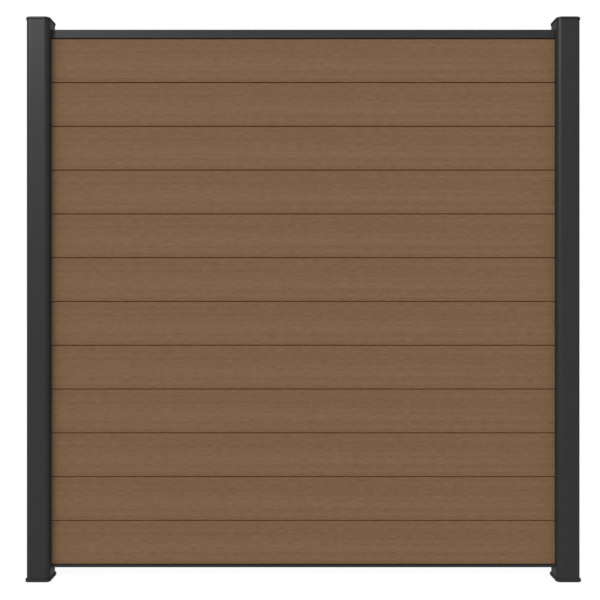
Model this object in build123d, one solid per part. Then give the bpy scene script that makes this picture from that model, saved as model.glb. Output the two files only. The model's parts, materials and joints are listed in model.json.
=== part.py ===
from build123d import *
import os

# Composite fence panel. X runs across the panel, -Y is the front and Z is up, with the origin
# on the ground midway between the posts. All sizes are in millimetres.

# Posts
post_spacing = 1802.0  # between the centre lines of the two posts
post_width = 80.0
post_corner_radius = 16.5
post_wall = 2.2
channel_depth = 18.0
channel_mouth_round = 1.0
post_above_rail = 36.0  # from the top of the top rail to the top of the caps

# Boards
board_count = 12
board_cover = 150.0  # height that one board adds to the wall
board_thickness = 20.0
board_wall = 4.0
board_edge_round = 1.5
chamber_count = 4
chamber_chamfer = 1.5
joint_reveal = 3.0  # shadow gap left open at the faces of each joint
tongue_thickness = 8.0
tongue_chamfer = 1.0
groove_depth = 8.5
groove_fit = 0.3  # clearance on each side of a tongue
end_insertion = 13.0  # how far boards and rails reach into the post channels

# Rails
ground_gap = 41.0
bottom_rail_height = 11.0
top_rail_height = 29.0
rail_wall = 2.0
rail_edge_round = 1.0
rail_fit = 0.3  # clearance on each side of a rail in a channel

# Gaskets between the boards and the channel walls
gasket_thickness = 3.0
gasket_backing = 1.2
gasket_rib_count = 3
gasket_rib_width = 1.6
gasket_setback = 1.0  # from the mouth of the channel to the gasket

# Covers that close the inner channels above and below the infill
cover_thickness = 1.5
cover_leg = 8.0
cover_fit = 0.2  # clearance on each side of a cover in a channel
cover_end_gap = 0.3  # between a cover and the rail

# Post caps
cap_overhang = 2.2
cap_height = 7.5
cap_top = 4.5
cap_edge_round = 4.0
cap_plug_depth = 12.0
cap_plug_wall = 2.0

# Post feet
foot_overhang = 3.2
foot_corner_radius = 14.0
foot_height = 9.3
foot_edge_round = 2.2
foot_rim_chamfer = 0.6
seat_height = 1.5  # shadow gap that is left between a foot and its post
seat_setback = 1.2  # from the face of a post to the side of the seat under it
spigot_rise = 40.0
spigot_wall = 4.0
anchor_hole_diameter = 11.0
anchor_spacing = 40.0
post_fit = 0.2  # clearance around and inside a post end

# Brackets that join the rails to the posts
bracket_thickness = 2.5
bracket_leg = 22.0
bracket_bend_radius = 2.0
bracket_corner_radius = 3.0
bracket_side_gap = 0.3  # between a bracket and the legs of the cover over it
shelf_setback = 0.5  # from the inside of the cover to the end of the shelf
leg_screw_rise = 13.0  # from the face of the rail to the screw in the leg

# Screws
post_screw_diameter = 4.8
post_screw_head = 9.5
post_screw_head_height = 3.0
post_screw_length = 16.0
rail_screw_diameter = 4.2
rail_screw_head = 8.0
rail_screw_head_height = 2.5
rail_screw_length = 8.0
screw_tip = 2.0
screw_socket = 3.0  # across the corners of the hexagon socket
screw_socket_depth = 1.5
screw_fit = 0.15  # clearance around a shank

# Places that follow from the sizes above
half_post = post_width / 2
channel_width = board_thickness + 2 * gasket_thickness
channel_back = half_post - channel_depth
infill_length = post_spacing - post_width + 2 * end_insertion
rail_width = channel_width - 2 * rail_fit
cover_width = channel_width - 2 * cover_fit
boards_base = ground_gap + bottom_rail_height
boards_top = boards_base + board_count * board_cover
rail_top = boards_top + top_rail_height
overall_height = rail_top + post_above_rail
post_base = foot_height + seat_height
post_top = overall_height - cap_top
infill_end = half_post - end_insertion
shelf_end = half_post - cover_thickness - shelf_setback
rail_screw_place = (infill_end + shelf_end) / 2
lower_screw_height = ground_gap - leg_screw_rise
upper_screw_height = rail_top + leg_screw_rise
left_post_place = Pos(-post_spacing / 2, 0, 0)

# Ways to set a round solid: with its foot or with its top at the place given
standing = (Align.CENTER, Align.CENTER, Align.MIN)
hanging = (Align.CENTER, Align.CENTER, Align.MAX)


def post_outline():
    """Rounded square with a channel in its inner side and another in its outer side."""
    outline = RectangleRounded(post_width, post_width, post_corner_radius)
    channel = Rectangle(channel_depth, channel_width)
    for side in (-1, 1):
        outline -= Pos(side * (half_post - channel_depth / 2), 0) * channel
    return outline


def post_chamber():
    """Hollow of the post, one wall thickness inside its outline."""
    return offset(post_outline(), amount=-post_wall, kind=Kind.INTERSECTION)


def chamber_core(clearance):
    """Outline of a plug for the middle of the hollow, between the backs of the two channels."""
    middle = Rectangle(2 * (channel_back - post_wall - clearance), post_width)
    return offset(post_chamber(), amount=-clearance, kind=Kind.INTERSECTION) & middle


def at_channel_mouth(vertex):
    """Tells whether a corner of the post outline lies at the mouth of a channel."""
    on_face = abs(abs(vertex.X) - half_post) < post_fit
    on_wall = abs(abs(vertex.Y) - channel_width / 2) < post_fit
    return on_face and on_wall


def screw_bore(diameter, length):
    """Clearance hole for a screw, along X from the origin."""
    bore = Cylinder(diameter / 2 + screw_fit, length, align=standing)
    return Rot(0, 90, 0) * bore


def post():
    """Left post about its own centre line, with its inner side towards +X."""
    outline = post_outline()
    outline = fillet(outline.vertices().filter_by(at_channel_mouth), channel_mouth_round)
    body = Pos(0, 0, post_base) * extrude(outline - post_chamber(), amount=post_top - post_base)
    inner_bore = screw_bore(post_screw_diameter, channel_back)
    body -= Pos(0, 0, upper_screw_height) * inner_bore
    body -= Pos(0, 0, lower_screw_height) * inner_bore
    body -= Pos(-channel_back, 0, lower_screw_height) * inner_bore
    return body


def post_cap():
    """Cap with a skirt around the post and a hollow plug down inside it."""
    width = post_width + 2 * cap_overhang
    body = extrude(RectangleRounded(width, width, post_corner_radius + cap_overhang), amount=cap_height)
    body = fillet(body.faces().sort_by(Axis.Z)[-1].edges(), cap_edge_round)
    socket_width = post_width + 2 * post_fit
    socket = RectangleRounded(socket_width, socket_width, post_corner_radius + post_fit)
    body -= extrude(socket, amount=cap_height - cap_top)
    core = chamber_core(post_fit)
    ring = core - offset(core, amount=-cap_plug_wall, kind=Kind.INTERSECTION)
    body += Pos(0, 0, cap_height - cap_top) * extrude(ring, amount=-cap_plug_depth)
    return Pos(0, 0, overall_height - cap_height) * body


def post_foot():
    """Foot with a seat under the post, a hollow spigot up inside it and two anchor holes."""
    width = post_width + 2 * foot_overhang
    body = extrude(RectangleRounded(width, width, foot_corner_radius), amount=foot_height)
    body = fillet(body.faces().sort_by(Axis.Z)[0].edges(), foot_edge_round)
    body = chamfer(body.faces().sort_by(Axis.Z)[-1].edges(), foot_rim_chamfer)
    seat_width = post_width - 2 * seat_setback
    seat = RectangleRounded(seat_width, seat_width, post_corner_radius - seat_setback)
    body += Pos(0, 0, foot_height) * extrude(seat, amount=seat_height)
    core = chamber_core(post_fit)
    ring = core - offset(core, amount=-spigot_wall, kind=Kind.INTERSECTION)
    body += Pos(0, 0, post_base) * extrude(ring, amount=spigot_rise)
    anchor = Cylinder(anchor_hole_diameter / 2, post_base, align=standing)
    for side in (-1, 1):
        body -= Pos(0, side * anchor_spacing / 2, 0) * anchor
    bore = screw_bore(post_screw_diameter, 2 * channel_back)
    return body - Pos(-channel_back, 0, lower_screw_height) * bore


def tongue(shoulder):
    """Tongue that stands on a shoulder, through the reveal and down to the root of the next groove."""
    height = joint_reveal + groove_depth
    strip = Rectangle(tongue_thickness, height, align=(Align.CENTER, Align.MIN))
    tip = strip.vertices().group_by(Axis.Y)[-1]
    return Pos(0, shoulder) * chamfer(tip, tongue_chamfer)


def groove():
    """Groove for a tongue, open at height zero."""
    return Rectangle(tongue_thickness + 2 * groove_fit, groove_depth, align=(Align.CENTER, Align.MIN))


def board_chambers(shoulder):
    """Column of hollows between the groove and the shoulder, with webs as thick as the wall."""
    lowest = groove_depth + board_wall
    pitch = (shoulder - lowest) / chamber_count
    hollow = Rectangle(board_thickness - 2 * board_wall, pitch - board_wall)
    hollow = chamfer(hollow.vertices(), chamber_chamfer)
    column = Sketch()
    for index in range(chamber_count):
        column += Pos(0, lowest + index * pitch + (pitch - board_wall) / 2) * hollow
    return column


def lengthwise(section, height):
    """Length of boards or rails with the given end view, its height zero set at the given height."""
    return Pos(0, 0, height) * extrude(Plane.YZ * section, amount=infill_length / 2, both=True)


def board(height):
    """Hollow board with a groove below and a tongue above."""
    shoulder = board_cover - joint_reveal
    outline = Pos(0, shoulder / 2) * RectangleRounded(board_thickness, shoulder, board_edge_round)
    section = outline - groove() + tongue(shoulder) - board_chambers(shoulder)
    return lengthwise(section, height)


def hollow_rail(outline, outer_corners):
    """End view of a rail with walls of one thickness and rounded outer corners."""
    cavity = offset(outline, amount=-rail_wall, kind=Kind.INTERSECTION)
    corners = [vertex for vertex in outline.vertices() if abs(vertex.X) > outer_corners]
    return fillet(corners, rail_edge_round) - cavity


def top_rail():
    """Hollow rail with a groove for the tongue of the highest board."""
    outline = Rectangle(rail_width, top_rail_height, align=(Align.CENTER, Align.MIN)) - groove()
    rail = lengthwise(hollow_rail(outline, board_thickness / 2), boards_top)
    bore = Cylinder(rail_screw_diameter / 2 + screw_fit, rail_wall, align=hanging)
    for side in (-1, 1):
        rail -= Pos(side * (post_spacing / 2 - rail_screw_place), 0, rail_top) * bore
    return rail


def bottom_rail():
    """Hollow starter rail with a tongue for the groove of the lowest board."""
    shoulder = bottom_rail_height - joint_reveal
    outline = Rectangle(rail_width, shoulder, align=(Align.CENTER, Align.MIN)) + tongue(shoulder)
    rail = lengthwise(hollow_rail(outline, board_thickness / 2), ground_gap)
    bore = Cylinder(rail_screw_diameter / 2 + screw_fit, rail_wall, align=standing)
    for side in (-1, 1):
        rail -= Pos(side * (post_spacing / 2 - rail_screw_place), 0, ground_gap) * bore
    return rail


def gasket():
    """Rear gasket of the left post: a backing on the channel wall with ribs that press on the boards."""
    length = end_insertion - gasket_setback
    backing = Rectangle(length, gasket_backing, align=(Align.MIN, Align.MAX))
    section = Pos(0, gasket_thickness) * backing
    rib = Rectangle(gasket_rib_width, gasket_thickness, align=(Align.MIN, Align.MIN))
    rib_pitch = (length - gasket_rib_width) / (gasket_rib_count - 1)
    for index in range(gasket_rib_count):
        section += Pos(index * rib_pitch, 0) * rib
    strip = extrude(section, amount=boards_top - boards_base)
    return Pos(infill_end, board_thickness / 2, boards_base) * strip


def bracket():
    """Angle with its leg up the back of a channel and its shelf on a rail, from its outer corner."""
    shelf_length = shelf_end - channel_back
    leg = Rectangle(bracket_thickness, bracket_leg, align=(Align.MIN, Align.MIN))
    shelf = Rectangle(shelf_length, bracket_thickness, align=(Align.MIN, Align.MIN))
    profile = leg + shelf
    corner = profile.vertices().sort_by_distance((0, 0))[0]
    profile = fillet(corner, bracket_bend_radius + bracket_thickness)
    inside = profile.vertices().sort_by_distance((bracket_thickness, bracket_thickness))[0]
    profile = fillet(inside, bracket_bend_radius)
    width = cover_width - 2 * (cover_thickness + bracket_side_gap)
    body = extrude(Plane.XZ * profile, amount=width / 2, both=True)
    leg_corners = body.faces().sort_by(Axis.Z)[-1].edges().filter_by(Axis.X)
    body = fillet(leg_corners, bracket_corner_radius)
    shelf_corners = body.faces().sort_by(Axis.X)[-1].edges().filter_by(Axis.Z)
    body = fillet(shelf_corners, bracket_corner_radius)
    body -= Pos(0, 0, leg_screw_rise) * screw_bore(post_screw_diameter, bracket_thickness)
    shelf_bore = Cylinder(rail_screw_diameter / 2 + screw_fit, 2 * bracket_thickness)
    return body - Pos(rail_screw_place - channel_back, 0, 0) * shelf_bore


def channel_cover(lower_end, upper_end):
    """Cover of the left post's inner channel, flush with its face, with a leg along each channel wall."""
    block = Rectangle(cover_leg, cover_width, align=(Align.MAX, Align.CENTER))
    inside = Rectangle(cover_leg, cover_width - 2 * cover_thickness, align=(Align.MAX, Align.CENTER))
    section = block - Pos(-cover_thickness, 0) * inside
    return Pos(half_post, 0, lower_end) * extrude(section, amount=upper_end - lower_end)


def screw(diameter, head, head_height, length):
    """Pan head screw with its head standing on height zero and its point downwards."""
    dome = Cylinder(head / 2, head_height, align=standing)
    dome = chamfer(dome.edges().sort_by(Axis.Z)[-1], head_height / 2)
    socket = extrude(RegularPolygon(screw_socket / 2, 6), amount=-screw_socket_depth)
    dome -= Pos(0, 0, head_height) * socket
    shank = Cylinder(diameter / 2, length - screw_tip, align=hanging)
    point = Cone(0, diameter / 2, screw_tip, align=hanging)
    return dome + shank + Pos(0, 0, screw_tip - length) * point


def left_post_screws():
    """Screws of the left post: through the two brackets, and from the outer channel into the foot."""
    one = screw(post_screw_diameter, post_screw_head, post_screw_head_height, post_screw_length)
    inward = Rot(0, 90, 0) * one
    outward = Rot(0, -90, 0) * one
    seat = channel_back + bracket_thickness
    upper = Pos(seat, 0, upper_screw_height) * inward
    lower = Pos(seat, 0, lower_screw_height) * inward
    outer = Pos(-channel_back, 0, lower_screw_height) * outward
    return [left_post_place * piece for piece in (upper, lower, outer)]


def left_rail_screws():
    """Screws at the left end of the rails: down through the upper shelf and up through the lower one."""
    one = screw(rail_screw_diameter, rail_screw_head, rail_screw_head_height, rail_screw_length)
    upper = Pos(rail_screw_place, 0, rail_top + bracket_thickness) * one
    lower = Pos(rail_screw_place, 0, ground_gap - bracket_thickness) * Rot(180, 0, 0) * one
    return [left_post_place * piece for piece in (upper, lower)]


def both_ends(left_screws):
    """One group of the screws at the left end and their mirror images at the right end."""
    right_screws = [mirror(piece, about=Plane.YZ) for piece in left_screws]
    return Compound(children=left_screws + right_screws)


def left_pieces():
    """Pieces of the left end of the panel, by the second half of their names."""
    rear_gasket = gasket()
    upper_bracket = bracket()
    lower_bracket = mirror(upper_bracket, about=Plane.XY)
    pieces = {
        "post": post(),
        "post_cap": post_cap(),
        "post_foot": post_foot(),
        "front_gasket": mirror(rear_gasket, about=Plane.XZ),
        "rear_gasket": rear_gasket,
        "upper_bracket": Pos(channel_back, 0, rail_top) * upper_bracket,
        "lower_bracket": Pos(channel_back, 0, ground_gap) * lower_bracket,
        "upper_cover": channel_cover(rail_top + cover_end_gap, post_top),
        "lower_cover": channel_cover(post_base, ground_gap - cover_end_gap),
    }
    return {name: left_post_place * piece for name, piece in pieces.items()}


def all_pieces():
    """Every piece of the panel in place, by name."""
    pieces = {}
    for name, piece in left_pieces().items():
        pieces["left_" + name] = piece
        pieces["right_" + name] = mirror(piece, about=Plane.YZ)
    pieces["bottom_rail"] = bottom_rail()
    for index in range(board_count):
        pieces[f"board_{index + 1:02d}"] = board(boards_base + index * board_cover)
    pieces["top_rail"] = top_rail()
    pieces["post_screws"] = both_ends(left_post_screws())
    pieces["rail_screws"] = both_ends(left_rail_screws())
    return pieces


os.makedirs("parts", exist_ok=True)
for piece_name, piece in all_pieces().items():
    export_step(piece, f"parts/{piece_name}.step")
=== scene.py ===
"""Composite fence panel: finishes, threaded screws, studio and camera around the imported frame.

All sizes are in metres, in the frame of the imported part: X along the boards, -Y the front and Z up.
"""

from __future__ import annotations

import json
import logging
import math
from dataclasses import dataclass, field
from enum import Enum

import bpy
import numpy as np
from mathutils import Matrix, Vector

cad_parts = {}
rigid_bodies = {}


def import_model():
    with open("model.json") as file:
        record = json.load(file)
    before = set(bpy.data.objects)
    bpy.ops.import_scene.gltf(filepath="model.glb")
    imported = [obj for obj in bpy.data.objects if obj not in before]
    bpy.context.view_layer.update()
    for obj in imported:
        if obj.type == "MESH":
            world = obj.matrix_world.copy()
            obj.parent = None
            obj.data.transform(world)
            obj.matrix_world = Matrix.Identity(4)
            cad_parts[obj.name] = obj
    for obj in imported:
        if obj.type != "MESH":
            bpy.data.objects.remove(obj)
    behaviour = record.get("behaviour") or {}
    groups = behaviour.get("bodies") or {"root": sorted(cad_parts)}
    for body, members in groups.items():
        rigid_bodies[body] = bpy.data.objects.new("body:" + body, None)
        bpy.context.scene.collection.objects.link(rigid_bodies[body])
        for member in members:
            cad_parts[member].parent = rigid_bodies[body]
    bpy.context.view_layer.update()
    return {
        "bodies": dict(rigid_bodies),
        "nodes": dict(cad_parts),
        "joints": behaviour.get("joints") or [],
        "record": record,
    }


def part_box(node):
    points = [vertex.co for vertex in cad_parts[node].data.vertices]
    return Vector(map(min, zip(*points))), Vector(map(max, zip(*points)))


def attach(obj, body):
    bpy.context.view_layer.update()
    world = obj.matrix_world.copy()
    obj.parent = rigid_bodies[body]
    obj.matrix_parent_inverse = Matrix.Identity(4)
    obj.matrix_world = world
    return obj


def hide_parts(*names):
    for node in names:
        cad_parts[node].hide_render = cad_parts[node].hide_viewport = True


LOG = logging.getLogger("fence_panel")
BODY = "root"
Colour = tuple[float, float, float, float]
Vec3 = tuple[float, float, float]
Socket = bpy.types.NodeSocket
WHITE: Colour = (1.0, 1.0, 1.0, 1.0)


def shade(red: int, green: int, blue: int) -> Colour:
    """Turns a colour in 0 to 255 screen levels into the linear colour that shaders take.

    Args:
        red: red level.
        green: green level.
        blue: blue level.

    Returns:
        Linear red, green, blue and an alpha of one.
    """
    levels = np.array([red, green, blue]) / 255.0
    linear = np.where(levels <= 0.04045, levels / 12.92, ((levels + 0.055) / 1.055) ** 2.4)
    return float(linear[0]), float(linear[1]), float(linear[2]), 1.0


class NodeSheet:
    """Adds and links shader nodes in one node tree."""

    def __init__(self, tree: bpy.types.NodeTree) -> None:
        """Keeps the tree that nodes are added to."""
        self.tree = tree

    def add(self, kind: str, **settings: object) -> bpy.types.Node:
        """Adds a node.

        Args:
            kind: type name of the node, without its "ShaderNode" start.
            settings: properties to set on the node.

        Returns:
            The new node.
        """
        node = self.tree.nodes.new("ShaderNode" + kind)
        for name, value in settings.items():
            setattr(node, name, value)
        return node

    def link(self, source: Socket | float | Colour, target: Socket) -> None:
        """Joins an output to an input, or sets the input where the source is a plain number or colour.

        Args:
            source: the output or the plain value.
            target: the input.
        """
        if isinstance(source, bpy.types.NodeSocket):
            self.tree.links.new(source, target)
        else:
            target.default_value = source

    def math(self, operation: str, first: Socket | float, second: Socket | float = 0.0) -> Socket:
        """Adds a Math node.

        Args:
            operation: name of the operation.
            first: first value or socket.
            second: second value or socket.

        Returns:
            The node's output.
        """
        node = self.add("Math", operation=operation)
        self.link(first, node.inputs[0])
        self.link(second, node.inputs[1])
        return node.outputs[0]

    def around(self, value: Socket, middle: float, swing: float) -> Socket:
        """Spreads a value that runs from 0 to 1 over a range.

        Args:
            value: the value.
            middle: result where the value is one half.
            swing: width of the range.

        Returns:
            The spread value.
        """
        return self.math("ADD", self.math("MULTIPLY", value, swing), middle - swing / 2)

    def blend(self, factor: Socket, first: Socket | Colour, second: Socket | Colour) -> Socket:
        """Adds a Mix node between two colours.

        Args:
            factor: share of the second colour.
            first: colour or socket at a factor of 0.
            second: colour or socket at a factor of 1.

        Returns:
            The mixed colour.
        """
        node = self.add("Mix", data_type="RGBA")
        from_colour, to_colour = (socket for socket in node.inputs if socket.type == "RGBA")
        self.link(first, from_colour)
        self.link(second, to_colour)
        self.link(factor, node.inputs["Factor"])
        return next(socket for socket in node.outputs if socket.type == "RGBA")

    def place(self) -> Socket:
        """Gives the Object coordinates of the shaded point."""
        return self.add("TexCoord").outputs["Object"]

    def seen(self) -> Socket:
        """Tells the rays that show a surface from those that only light one.

        Returns:
            1 for rays from the camera, a reflection or a see-through surface, and 0 for the rest.
        """
        path = self.add("LightPath")
        mirrored = self.math("MAXIMUM", path.outputs["Is Glossy Ray"], path.outputs["Is Transmission Ray"])
        return self.math("MAXIMUM", path.outputs["Is Camera Ray"], mirrored)

    def group(self, tree: bpy.types.NodeTree, **inputs: Socket | float) -> bpy.types.Node:
        """Places a node group.

        Args:
            tree: the group's tree.
            inputs: sockets or numbers by input name.

        Returns:
            The group node.
        """
        node = self.add("Group")
        node.node_tree = tree
        for name, value in inputs.items():
            self.link(value, node.inputs[name])
        return node


class SurfaceEffects:
    """Shader node groups that several finishes share, each built once."""

    FIBRE_DETAIL = 3.0
    FIBRE_ROUGHNESS = 0.6
    STIPPLE_DETAIL = 1.0
    DRIFT_DETAIL = 3.0

    def __init__(self) -> None:
        """Builds the groups."""
        self.fibre = self._fibre()
        self.stipple = self._stipple()
        self.drift = self._drift()

    @staticmethod
    def _blank(
        name: str, inputs: dict[str, str], output: str
    ) -> tuple[NodeSheet, bpy.types.Node, bpy.types.Node]:
        """Makes an empty group with one output, which is called Result.

        Args:
            name: name of the group.
            inputs: socket types by input name.
            output: socket type of the output.

        Returns:
            The group's sheet, its input node and its output node.
        """
        tree = bpy.data.node_groups.new(name, "ShaderNodeTree")
        for title, kind in inputs.items():
            tree.interface.new_socket(title, in_out="INPUT", socket_type="NodeSocket" + kind)
        tree.interface.new_socket("Result", in_out="OUTPUT", socket_type="NodeSocket" + output)
        return NodeSheet(tree), tree.nodes.new("NodeGroupInput"), tree.nodes.new("NodeGroupOutput")

    def _fibre(self) -> bpy.types.NodeTree:
        """Builds the fibre group: noise drawn out along X, about one half on average.

        Returns:
            The group, with the repeats per metre along and across the fibre as inputs.
        """
        inputs = {"Place": "Vector", "Along": "Float", "Across": "Float"}
        sheet, taken, given = self._blank("fibre", inputs, "Float")
        scale = sheet.add("CombineXYZ")
        sheet.link(taken.outputs["Along"], scale.inputs["X"])
        sheet.link(taken.outputs["Across"], scale.inputs["Y"])
        sheet.link(taken.outputs["Across"], scale.inputs["Z"])
        drawn = sheet.add("VectorMath", operation="MULTIPLY")
        sheet.link(taken.outputs["Place"], drawn.inputs[0])
        sheet.link(scale.outputs["Vector"], drawn.inputs[1])
        noise = sheet.add("TexNoise")
        noise.inputs["Scale"].default_value = 1.0
        noise.inputs["Detail"].default_value = self.FIBRE_DETAIL
        noise.inputs["Roughness"].default_value = self.FIBRE_ROUGHNESS
        sheet.link(drawn.outputs["Vector"], noise.inputs["Vector"])
        sheet.link(noise.outputs[0], given.inputs["Result"])
        return sheet.tree

    def _stipple(self) -> bpy.types.NodeTree:
        """Builds the stipple group: the fine even texture of sprayed coats, moulded plastic and rubber.

        Returns:
            The group, with the grains per metre as input.
        """
        sheet, taken, given = self._blank("stipple", {"Place": "Vector", "Grains": "Float"}, "Float")
        noise = sheet.add("TexNoise")
        noise.inputs["Detail"].default_value = self.STIPPLE_DETAIL
        sheet.link(taken.outputs["Place"], noise.inputs["Vector"])
        sheet.link(taken.outputs["Grains"], noise.inputs["Scale"])
        sheet.link(noise.outputs[0], given.inputs["Result"])
        return sheet.tree

    def _drift(self) -> bpy.types.NodeTree:
        """Builds the drift group: a colour made a little lighter and darker in broad soft patches.

        Returns:
            The group, with the colour, the patches per metre and the strength as inputs.
        """
        inputs = {"Place": "Vector", "Colour": "Color", "Patches": "Float", "Strength": "Float"}
        sheet, taken, given = self._blank("drift", inputs, "Color")
        noise = sheet.add("TexNoise")
        noise.inputs["Detail"].default_value = self.DRIFT_DETAIL
        sheet.link(taken.outputs["Place"], noise.inputs["Vector"])
        sheet.link(taken.outputs["Patches"], noise.inputs["Scale"])
        swing = sheet.math("SUBTRACT", noise.outputs[0], 0.5)
        gain = sheet.math("ADD", sheet.math("MULTIPLY", swing, taken.outputs["Strength"]), 1.0)
        scaled = sheet.add("VectorMath", operation="SCALE")
        sheet.link(taken.outputs["Colour"], scaled.inputs["Vector"])
        sheet.link(gain, scaled.inputs["Scale"])
        sheet.link(scaled.outputs["Vector"], given.inputs["Result"])
        return sheet.tree


class Finish:
    """What every finish shares: a material with one Principled shader."""

    name: str

    def _blank(self) -> tuple[bpy.types.Material, NodeSheet, bpy.types.Node]:
        """Makes a material.

        Returns:
            The material, its node sheet and its Principled shader.
        """
        material = bpy.data.materials.new(self.name)
        material.use_nodes = True
        return material, NodeSheet(material.node_tree), material.node_tree.nodes["Principled BSDF"]

    @staticmethod
    def _relief(sheet: NodeSheet, shader: bpy.types.Node, height: Socket, depth: float) -> None:
        """Feeds a height through a Bump node into the shader's normal.

        Args:
            sheet: the material's node sheet.
            shader: the Principled shader.
            height: the height, from 0 to 1.
            depth: real depth of a height of 1.
        """
        bump = sheet.add("Bump")
        bump.inputs["Distance"].default_value = depth
        bump.inputs["Strength"].default_value = 1.0
        sheet.link(height, bump.inputs["Height"])
        sheet.link(bump.outputs["Normal"], shader.inputs["Normal"])


@dataclass(frozen=True)
class StippledFinish(Finish):
    """Satin finish with a fine even stipple: powder coat, moulded plastic or rubber."""

    name: str
    colour: Colour
    roughness: float
    gloss: float
    grains: float  # per metre
    grain_depth: float
    roughness_swing: float = 0.04
    patches: float = 3.0  # per metre
    patch_strength: float = 0.12
    speck_strength: float = 0.5

    def build(self, effects: SurfaceEffects) -> bpy.types.Material:
        """Builds the material: a colour with broad soft patches and fine specks, and a stippled relief.

        Args:
            effects: the shared node groups.

        Returns:
            The material.
        """
        material, sheet, shader = self._blank()
        place = sheet.place()
        drift = sheet.group(effects.drift, Place=place, Patches=self.patches, Strength=self.patch_strength)
        drift.inputs["Colour"].default_value = self.colour
        speck = sheet.group(effects.drift, Place=place, Patches=self.grains, Strength=self.speck_strength,
                            Colour=drift.outputs["Result"])
        sheet.link(speck.outputs["Result"], shader.inputs["Base Color"])
        grain = sheet.group(effects.stipple, Place=place, Grains=self.grains).outputs["Result"]
        sheet.link(sheet.around(grain, self.roughness, self.roughness_swing), shader.inputs["Roughness"])
        shader.inputs["Specular IOR Level"].default_value = self.gloss
        self._relief(sheet, shader, grain, self.grain_depth)
        return material


@dataclass(frozen=True)
class BrushedSteel(Finish):
    """Plain stainless steel with fine drawn lines."""

    name: str
    colour: Colour
    roughness: float
    roughness_swing: float = 0.2
    lines_along: float = 60.0  # per metre, as the next one is
    lines_across: float = 4000.0
    line_depth: float = 0.000015
    patches: float = 90.0
    patch_strength: float = 0.25

    def build(self, effects: SurfaceEffects) -> bpy.types.Material:
        """Builds the material.

        Args:
            effects: the shared node groups.

        Returns:
            The material.
        """
        material, sheet, shader = self._blank()
        place = sheet.place()
        drift = sheet.group(effects.drift, Place=place, Patches=self.patches, Strength=self.patch_strength)
        drift.inputs["Colour"].default_value = self.colour
        sheet.link(drift.outputs["Result"], shader.inputs["Base Color"])
        lines = sheet.group(effects.fibre, Place=place, Along=self.lines_along, Across=self.lines_across)
        drawn = lines.outputs["Result"]
        sheet.link(sheet.around(drawn, self.roughness, self.roughness_swing), shader.inputs["Roughness"])
        shader.inputs["Metallic"].default_value = 1.0
        self._relief(sheet, shader, drawn, self.line_depth)
        return material


@dataclass(frozen=True)
class Grain:
    """One layer of wood grain: repeats per metre along and across the board, and its share of the tone."""

    along: float
    across: float
    share: float


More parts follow.
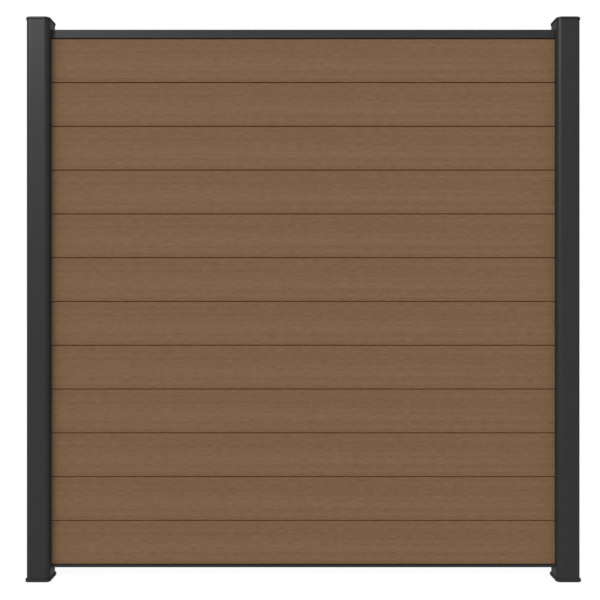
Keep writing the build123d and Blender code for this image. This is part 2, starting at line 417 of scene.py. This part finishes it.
@dataclass(frozen=True)
class BoardComposite(Finish):
    """Brown wood and plastic composite with an embossed grain along X that differs from board to board, and
    a painted shade in its recesses.
    """

    name: str
    dark: Colour
    light: Colour
    # painted shade: a warmer brown for surfaces set back from the faces, as inside the shaded joints
    recess_shade: Colour
    base: float  # height of the foot of the lowest board
    cover: float  # height from one board to the next
    face: float  # distance of the faces from the middle of the panel
    face_layer: float = 0.0015  # depth from the faces within which the grain colour is kept; deeper surfaces take the painted recess shade
    roughness: float = 0.8
    roughness_swing: float = 0.2
    gloss: float = 0.008
    band: Grain = Grain(along=0.35, across=48.0, share=0.8)
    streak: Grain = Grain(along=34.0, across=300.0, share=1.05)
    thread: Grain = Grain(along=60.0, across=1600.0, share=1.1)
    pore: Grain = Grain(along=45.0, across=1100.0, share=1.6)
    pore_level: float = 0.58  # noise above this level is a pore
    hill: Grain = Grain(along=1.1, across=9.0, share=0.04)
    hill_turns: float = 14.0  # rings from the lowest to the highest noise
    emboss_depth: float = 0.0002
    own_shift: float = 40.0  # furthest that a board's grain is moved along

    def _places(self, sheet: NodeSheet) -> tuple[Socket, Socket]:
        """Finds coordinates that start again on each board, so that no grain runs across a joint.

        Args:
            sheet: the material's node sheet.

        Returns:
            Coordinates measured from the foot of the board, the same on every board, and the same ones
            moved along by a length of each board's own.
        """
        place = sheet.place()
        split = sheet.add("SeparateXYZ")
        sheet.link(place, split.inputs["Vector"])
        rise = sheet.math("SUBTRACT", split.outputs["Z"], self.base)
        number = sheet.math("FLOOR", sheet.math("DIVIDE", rise, self.cover))
        down = sheet.add("CombineXYZ")
        sheet.link(sheet.math("MULTIPLY", number, -self.cover), down.inputs["Z"])
        pick = sheet.add("TexWhiteNoise", noise_dimensions="1D")
        sheet.link(number, pick.inputs["W"])
        along = sheet.add("CombineXYZ")
        sheet.link(sheet.math("MULTIPLY", pick.outputs["Value"], self.own_shift), along.inputs["X"])
        shared = sheet.add("VectorMath", operation="ADD")
        sheet.link(place, shared.inputs[0])
        sheet.link(down.outputs["Vector"], shared.inputs[1])
        own = sheet.add("VectorMath", operation="ADD")
        sheet.link(shared.outputs["Vector"], own.inputs[0])
        sheet.link(along.outputs["Vector"], own.inputs[1])
        return shared.outputs["Vector"], own.outputs["Vector"]

    @staticmethod
    def _layer(sheet: NodeSheet, effects: SurfaceEffects, place: Socket, grain: Grain) -> Socket:
        """Places one layer of fibre noise.

        Args:
            sheet: the material's node sheet.
            effects: the shared node groups.
            place: coordinates of the board.
            grain: the layer's repeats.

        Returns:
            A value about one half.
        """
        fibre = sheet.group(effects.fibre, Place=place, Along=grain.along, Across=grain.across)
        return fibre.outputs["Result"]

    def _rings(self, sheet: NodeSheet, effects: SurfaceEffects, place: Socket) -> Socket:
        """Draws the long pointed arches of a sawn face: the contour lines of a drawn-out noise.

        Args:
            sheet: the material's node sheet.
            effects: the shared node groups.
            place: coordinates of the board.

        Returns:
            A value from 0 to 1.
        """
        hill = self._layer(sheet, effects, place, self.hill)
        wave = sheet.math("SINE", sheet.math("MULTIPLY", hill, self.hill_turns * math.tau))
        return sheet.math("ADD", sheet.math("MULTIPLY", wave, 0.5), 0.5)

    def _pores(self, sheet: NodeSheet, effects: SurfaceEffects, place: Socket) -> Socket:
        """Keeps only the crests of a fibre layer, as short pores.

        Args:
            sheet: the material's node sheet.
            effects: the shared node groups.
            place: coordinates of the board.

        Returns:
            A value from 0 beside the pores to 1 in the deepest ones.
        """
        crest = sheet.math("SUBTRACT", self._layer(sheet, effects, place, self.pore), self.pore_level)
        return sheet.math("DIVIDE", sheet.math("MAXIMUM", crest, 0.0), 1.0 - self.pore_level)

    def _recess_shade_mask(self, sheet: NodeSheet) -> Socket:
        """Finds where the painted shade goes: where the surface lies deeper than the face layer, as in the
        joints.

        Args:
            sheet: the material's node sheet.

        Returns:
            1 where the recess shade is painted and 0 on the faces.
        """
        split = sheet.add("SeparateXYZ")
        sheet.link(sheet.place(), split.inputs["Vector"])
        return sheet.math("LESS_THAN", sheet.math("ABSOLUTE", split.outputs["Y"]), self.face - self.face_layer)

    def build(self, effects: SurfaceEffects) -> bpy.types.Material:
        """Builds the material.

        Bands, streaks, threads, rings and pores make one tone. Threads and pores also make the relief.
        Surfaces set back from the faces get a painted shade instead of the tone.

        Args:
            effects: the shared node groups.

        Returns:
            The material.
        """
        material, sheet, shader = self._blank()
        shared, place = self._places(sheet)
        band = self._layer(sheet, effects, shared, self.band)
        streak = self._layer(sheet, effects, place, self.streak)
        thread = self._layer(sheet, effects, place, self.thread)
        rings = self._rings(sheet, effects, place)
        pore = self._pores(sheet, effects, place)
        tone = sheet.around(band, 0.5, self.band.share)
        tone = sheet.math("ADD", tone, sheet.around(streak, 0.0, self.streak.share))
        tone = sheet.math("ADD", tone, sheet.around(thread, 0.0, self.thread.share))
        tone = sheet.math("ADD", tone, sheet.around(rings, 0.0, self.hill.share))
        tone = sheet.math("SUBTRACT", tone, sheet.math("MULTIPLY", pore, self.pore.share))
        face_layer = sheet.blend(tone, self.dark, self.light)
        # painted shade: surfaces set back from the faces, as in the joints, take the recess colour
        sheet.link(sheet.blend(self._recess_shade_mask(sheet), face_layer, self.recess_shade), shader.inputs["Base Color"])
        sheet.link(sheet.around(thread, self.roughness, self.roughness_swing), shader.inputs["Roughness"])
        shader.inputs["Specular IOR Level"].default_value = self.gloss
        self._relief(sheet, shader, sheet.math("SUBTRACT", thread, pore), self.emboss_depth)
        return material


class Slot(Enum):
    """The record's material slots."""

    POST = "post_coat"
    RAIL = "rail_coat"
    FOOT = "foot_coat"
    CAP = "cap_plastic"
    BOARD = "board_composite"
    GASKET = "gasket_rubber"
    BRACKET = "bracket_steel"
    SCREW = "screw_steel"


@dataclass
class FinishSet:
    """The finish of every slot of the panel."""

    boards_base: float
    board_cover: float
    board_face: float
    coat: Colour = shade(52, 52, 52)
    rubber: Colour = shade(24, 23, 22)
    steel: Colour = shade(188, 189, 191)
    board_dark: Colour = shade(105, 78, 55)
    board_light: Colour = shade(138, 109, 84)
    # painted shade for the board recesses: the warmer brown of the shaded joints
    board_recess_shade: Colour = shade(131, 84, 37)
    materials: dict[Slot, bpy.types.Material] = field(default_factory=dict)

    def _coat(self, name: str) -> StippledFinish:
        """Gives the powder coat of the metal profiles under a name."""
        return StippledFinish(
            name, self.coat, roughness=0.37, gloss=0.02, grains=900.0, grain_depth=0.00002
        )

    def build(self) -> None:
        """Builds one material for each slot."""
        effects = SurfaceEffects()
        finishes = {
            Slot.POST: self._coat("post_powder_coat"),
            Slot.RAIL: self._coat("rail_powder_coat"),
            Slot.FOOT: self._coat("foot_powder_coat"),
            Slot.CAP: StippledFinish(
                "cap_moulding", self.coat, roughness=0.4, gloss=0.02, grains=1500.0, grain_depth=0.00001
            ),
            Slot.GASKET: StippledFinish(
                "gasket_rubber", self.rubber, roughness=0.75, gloss=0.02, grains=600.0, grain_depth=0.00004
            ),
            Slot.BRACKET: BrushedSteel("bracket_stainless", self.steel, roughness=0.34),
            Slot.SCREW: BrushedSteel("screw_stainless", self.steel, roughness=0.3),
            Slot.BOARD: BoardComposite(
                "board_wood_grain",
                dark=self.board_dark,
                light=self.board_light,
                recess_shade=self.board_recess_shade,
                base=self.boards_base,
                cover=self.board_cover,
                face=self.board_face,
            ),
        }
        self.materials = {slot: finish.build(effects) for slot, finish in finishes.items()}

    def dress(self, piece: bpy.types.Object, slot: Slot) -> None:
        """Gives a piece the finish of a slot.

        Args:
            piece: the object to dress.
            slot: the slot whose finish it takes.
        """
        piece.data.materials.clear()
        piece.data.materials.append(self.materials[slot])


@dataclass
class CarriedNodes:
    """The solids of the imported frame, dressed by their slots in the record."""

    frame: dict
    finishes: FinishSet

    def dress(self) -> None:
        """Dresses every node."""
        for entry in self.frame["record"]["subparts"]:
            self.finishes.dress(self.frame["nodes"][entry["node"]], Slot(entry["material_slot"]))
            LOG.info("dressed %s as %s", entry["node"], entry["material_slot"])


@dataclass(frozen=True)
class Seat:
    """Where a screw sits: the point under its head on its axis, and the way its head faces."""

    point: Vec3
    facing: Vec3


@dataclass(frozen=True)
class ThreadedScrew:
    """Pan head tapping screw with a six-lobed recess, as one closed surface about its own axis."""

    diameter: float
    head: float  # diameter of the head
    head_height: float
    length: float
    pitch: float = 0.0016
    thread_depth: float = 0.0005
    tip: float = 0.002
    rim_share: float = 0.3  # upright part of the head's height
    recess: float = 0.0015  # mean radius of the recess
    recess_depth: float = 0.0015
    lobe_share: float = 0.14
    lobes: int = 6
    around: int = 48  # corners in a ring
    rows_in_dome: int = 9
    rows_in_turn: int = 10

    def _profile(self) -> tuple[np.ndarray, np.ndarray, np.ndarray]:
        """Lists the rings from the middle of the recess over the head and down the shank.

        The dome is a quarter of an ellipse from the edge of the recess to the rim. The shank narrows to a
        point over the length of the tip.

        Returns:
            Radius, height and share of the lobes for each ring.
        """
        rim = self.head_height * self.rim_share
        turn = np.linspace(0.0, math.pi / 2, self.rows_in_dome)
        dome_radius = self.recess + (self.head / 2 - self.recess) * np.sin(turn)
        dome_height = rim + (self.head_height - rim) * np.cos(turn)
        rows_in_shank = int(self.rows_in_turn * self.length / self.pitch)
        depth = np.linspace(0.0, self.length, rows_in_shank, endpoint=False)
        shank_radius = self.diameter / 2 * np.minimum(1.0, (self.length - depth) / self.tip)
        floor = self.head_height - self.recess_depth
        radius = np.concatenate([[self.recess], dome_radius, [self.head / 2], shank_radius])
        height = np.concatenate([[floor], dome_height, [0.0], -depth])
        lobe = np.zeros(len(radius))
        lobe[:2] = 1.0
        return radius, height, lobe

    def surface(self) -> tuple[np.ndarray, np.ndarray]:
        """Works out the screw with its head standing on height zero and its point downwards.

        On the ring at height h, at the angle u, the radius is the profile's. In the recess it is made
        larger and smaller by a share of the cosine of six u. On the shank the depth of the thread times a
        triangle wave of h over the pitch plus u over one turn is taken off, which makes the wave a helix.

        Returns:
            Corners, with the two poles last, and faces as rows of four corner numbers.
        """
        radius, height, lobe = (column[:, None] for column in self._profile())
        angle = np.linspace(0.0, math.tau, self.around, endpoint=False)[None, :]
        phase = (height / self.pitch + angle / math.tau) % 1.0
        cut = self.thread_depth * np.abs(2.0 * phase - 1.0) * (height < 0.0)
        cut *= radius / (self.diameter / 2)
        reach = radius * (1.0 + self.lobe_share * lobe * np.cos(self.lobes * angle)) - cut
        rings = np.stack([reach * np.cos(angle), reach * np.sin(angle), height + 0.0 * angle], axis=2)
        poles = np.array([[0.0, 0.0, height[0, 0]], [0.0, 0.0, -self.length]])
        corners = np.concatenate([rings.reshape(-1, 3), poles])
        count = len(radius)
        number = np.arange(count * self.around).reshape(count, self.around)
        after = np.roll(number, -1, axis=1)
        sides = np.stack([number[:-1], number[1:], after[1:], after[:-1]], axis=2).reshape(-1, 4)
        top = np.full(self.around, count * self.around)
        bottom = top + 1
        first = np.stack([top, number[0], after[0], top], axis=1)
        last = np.stack([number[-1], bottom, bottom, after[-1]], axis=1)
        return corners, np.concatenate([first, sides, last])

    def placed(self, seat: Seat) -> tuple[np.ndarray, np.ndarray]:
        """Turns the screw so that its head faces the way of a seat, and sets it there.

        Args:
            seat: the seat, which faces along X or Z.

        Returns:
            Corners and faces.
        """
        corners, faces = self.surface()
        facing = np.array(seat.facing)
        across = np.array([0.0, 1.0, 0.0])
        axes = np.stack([across, np.cross(facing, across), facing])
        return corners @ axes + np.array(seat.point), faces


@dataclass
class ScrewGroup:
    """All the screws of one kind as one piece that stands for its node."""

    node: str
    screw: ThreadedScrew
    seats: list[Seat]
    crease: float = math.radians(35.0)

    def build(self, finishes: FinishSet) -> bpy.types.Object:
        """Builds and dresses the group.

        Args:
            finishes: the finishes of the panel.

        Returns:
            The new piece.
        """
        placed = [self.screw.placed(seat) for seat in self.seats]
        starts = np.arange(len(placed)) * len(placed[0][0])
        corners = np.concatenate([screw_corners for screw_corners, _ in placed])
        faces = np.concatenate([screw_faces + start for (_, screw_faces), start in zip(placed, starts)])
        outlines = [tuple(dict.fromkeys(face)) for face in faces.tolist()]
        mesh = bpy.data.meshes.new("threaded_" + self.node)
        mesh.from_pydata(corners.tolist(), [], outlines)
        mesh.shade_smooth()
        mesh.set_sharp_from_angle(angle=self.crease)
        piece = bpy.data.objects.new("threaded_" + self.node, mesh)
        bpy.context.scene.collection.objects.link(piece)
        finishes.dress(piece, Slot.SCREW)
        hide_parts(self.node)
        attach(piece, BODY)
        LOG.info("built %s with %d screws", piece.name, len(self.seats))
        return piece


@dataclass
class Fasteners:
    """The screws that hold the brackets to the posts and rails, and the posts to their feet."""

    post_screw: ThreadedScrew = ThreadedScrew(diameter=0.0048, head=0.0095, head_height=0.003, length=0.016)
    rail_screw: ThreadedScrew = ThreadedScrew(
        diameter=0.0042, head=0.008, head_height=0.0025, length=0.008, pitch=0.0014, recess=0.0014
    )
    bracket_thickness: float = 0.0025

    def _post_seats(self) -> list[Seat]:
        """Finds the seats of the post screws: on the legs of the brackets and in the outer channels.

        Returns:
            The seats, for both ends.
        """
        low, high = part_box("post_screws")
        lower = low.z + self.post_screw.head / 2
        upper = high.z - self.post_screw.head / 2
        outer = high.x - self.post_screw.head_height
        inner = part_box("right_upper_bracket")[1].x - self.bracket_thickness
        seats = []
        for side in (-1.0, 1.0):
            seats.append(Seat((side * inner, 0.0, upper), (-side, 0.0, 0.0)))
            seats.append(Seat((side * inner, 0.0, lower), (-side, 0.0, 0.0)))
            seats.append(Seat((side * outer, 0.0, lower), (side, 0.0, 0.0)))
        return seats

    def _rail_seats(self) -> list[Seat]:
        """Finds the seats of the rail screws: above the upper shelves and below the lower ones.

        Returns:
            The seats, for both ends.
        """
        low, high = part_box("rail_screws")
        along = high.x - self.rail_screw.head / 2
        seats = []
        for side in (-1.0, 1.0):
            seats.append(Seat((side * along, 0.0, high.z - self.rail_screw.head_height), (0.0, 0.0, 1.0)))
            seats.append(Seat((side * along, 0.0, low.z + self.rail_screw.head_height), (0.0, 0.0, -1.0)))
        return seats

    def build(self, finishes: FinishSet) -> None:
        """Builds both groups of screws.

        Args:
            finishes: the finishes of the panel.
        """
        ScrewGroup("post_screws", self.post_screw, self._post_seats()).build(finishes)
        ScrewGroup("rail_screws", self.rail_screw, self._rail_seats()).build(finishes)


class LampSide(Enum):
    """The side of a surface's shading that a lamp acts on."""

    MATT = "matt"
    GLOSS = "gloss"


@dataclass(frozen=True)
class Lamp:
    """A far soft lamp: its direction, strength, disc width in degrees and the shading it acts on."""

    name: str
    direction: Vec3
    strength: float
    spread: float
    side: LampSide
    distance: float = 6.0

    def build(self) -> None:
        """Hangs the lamp."""
        light = bpy.data.lights.new(self.name, "SUN")
        light.energy = self.strength
        light.angle = math.radians(self.spread)
        holder = bpy.data.objects.new(self.name, light)
        holder.rotation_mode = "QUATERNION"
        holder.rotation_quaternion = Vector(self.direction).to_track_quat("Z", "Y")
        holder.location = Vector(self.direction) * self.distance
        holder.visible_glossy = self.side is LampSide.GLOSS
        holder.visible_diffuse = self.side is LampSide.MATT
        bpy.context.scene.collection.objects.link(holder)


@dataclass
class Studio:
    """White studio: a wide pale floor, soft light all round and two lamps from the upper left.

    The wide key lamp lights the matt side of surfaces, and the small sheen lamp shows in gloss.
    """

    floor_half: float = 30.0
    floor_pale: float = 0.25
    floor_roughness: float = 0.9
    floor_glow: float = 0.33  # light that the floor gives to the panel
    floor_seen_glow: float = 0.85  # the same where the floor itself is seen
    even_light: float = 0.25  # light from all round
    facing_light: float = 1.07  # light added straight in front and behind, and less to the sides
    key_from: Vec3 = (-0.46, -0.665, 0.586)
    key_strength: float = 1.14
    key_spread: float = 50.0
    sheen_from: Vec3 = (-0.484, -0.65, 0.586)
    sheen_strength: float = 49.0
    sheen_spread: float = 4.0

    def _floor(self) -> None:
        """Lays a softly glowing floor at height zero, which is seen as white with a faint shadow."""
        side = np.array([-1.0, 1.0]) * self.floor_half
        x, y = np.meshgrid(side, side, indexing="ij")
        corners = np.stack([x.ravel(), y.ravel(), np.zeros(4)], axis=1)
        mesh = bpy.data.meshes.new("floor")
        mesh.from_pydata(corners.tolist(), [], [(0, 2, 3, 1)])
        floor = bpy.data.objects.new("floor", mesh)
        bpy.context.scene.collection.objects.link(floor)
        material = bpy.data.materials.new("floor_white")
        material.use_nodes = True
        sheet = NodeSheet(material.node_tree)
        shader = material.node_tree.nodes["Principled BSDF"]
        shader.inputs["Roughness"].default_value = self.floor_roughness
        shader.inputs["Specular IOR Level"].default_value = 0.0
        shader.inputs["Emission Color"].default_value = WHITE
        shader.inputs["Base Color"].default_value = (self.floor_pale, self.floor_pale, self.floor_pale, 1.0)
        lift = sheet.math("MULTIPLY", sheet.seen(), self.floor_seen_glow - self.floor_glow)
        sheet.link(sheet.math("ADD", lift, self.floor_glow), shader.inputs["Emission Strength"])
        mesh.materials.append(material)

    def _surround(self) -> None:
        """Sets the world: soft light, mostly from front and rear, and plain white where it is seen."""
        world = bpy.data.worlds.new("studio")
        bpy.context.scene.world = world
        world.use_nodes = True
        sheet = NodeSheet(world.node_tree)
        background = world.node_tree.nodes["Background"]
        background.inputs["Color"].default_value = WHITE
        split = sheet.add("SeparateXYZ")
        sheet.link(sheet.add("TexCoord").outputs["Generated"], split.inputs["Vector"])
        facing = sheet.math("MULTIPLY", sheet.math("ABSOLUTE", split.outputs["Y"]), self.facing_light)
        light = sheet.math("ADD", facing, self.even_light)
        white = sheet.math("MULTIPLY", sheet.seen(), sheet.math("SUBTRACT", 1.0, light))
        sheet.link(sheet.math("ADD", light, white), background.inputs["Strength"])

    def build(self) -> None:
        """Builds the studio."""
        self._floor()
        self._surround()
        Lamp("key_lamp", self.key_from, self.key_strength, self.key_spread, LampSide.MATT).build()
        Lamp("sheen_lamp", self.sheen_from, self.sheen_strength, self.sheen_spread, LampSide.GLOSS).build()
        bpy.context.scene.view_settings.view_transform = "Standard"
        LOG.info("built the studio")


@dataclass
class PhotoCamera:
    """Camera square to the panel at half its height, as in the photograph."""

    frame_pixels: float = 600.0
    focal_pixels: float = 788.0
    sensor: float = 36.0  # in millimetres
    distance: float = 2.709
    height: float = 0.9558
    aside: float = -0.0109

    def build(self) -> None:
        """Makes the camera and gives it to the scene."""
        data = bpy.data.cameras.new("photo_camera")
        data.sensor_width = self.sensor
        data.lens = self.focal_pixels / self.frame_pixels * self.sensor
        camera = bpy.data.objects.new("photo_camera", data)
        camera.location = (self.aside, -self.distance, self.height)
        camera.rotation_euler = (math.pi / 2, 0.0, 0.0)
        bpy.context.scene.collection.objects.link(camera)
        bpy.context.scene.camera = camera
        LOG.info("built the camera")


def main() -> None:
    """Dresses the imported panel, adds the screws and sets up the studio and the camera."""
    logging.basicConfig(level=logging.INFO)
    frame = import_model()
    lowest_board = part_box("board_01")
    boards_base = lowest_board[0].z
    board_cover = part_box("board_02")[0].z - boards_base
    finishes = FinishSet(boards_base, board_cover, lowest_board[1].y)
    finishes.build()
    CarriedNodes(frame, finishes).dress()
    Fasteners().build(finishes)
    Studio().build()
    PhotoCamera().build()


if __name__ == "__main__":
    main()
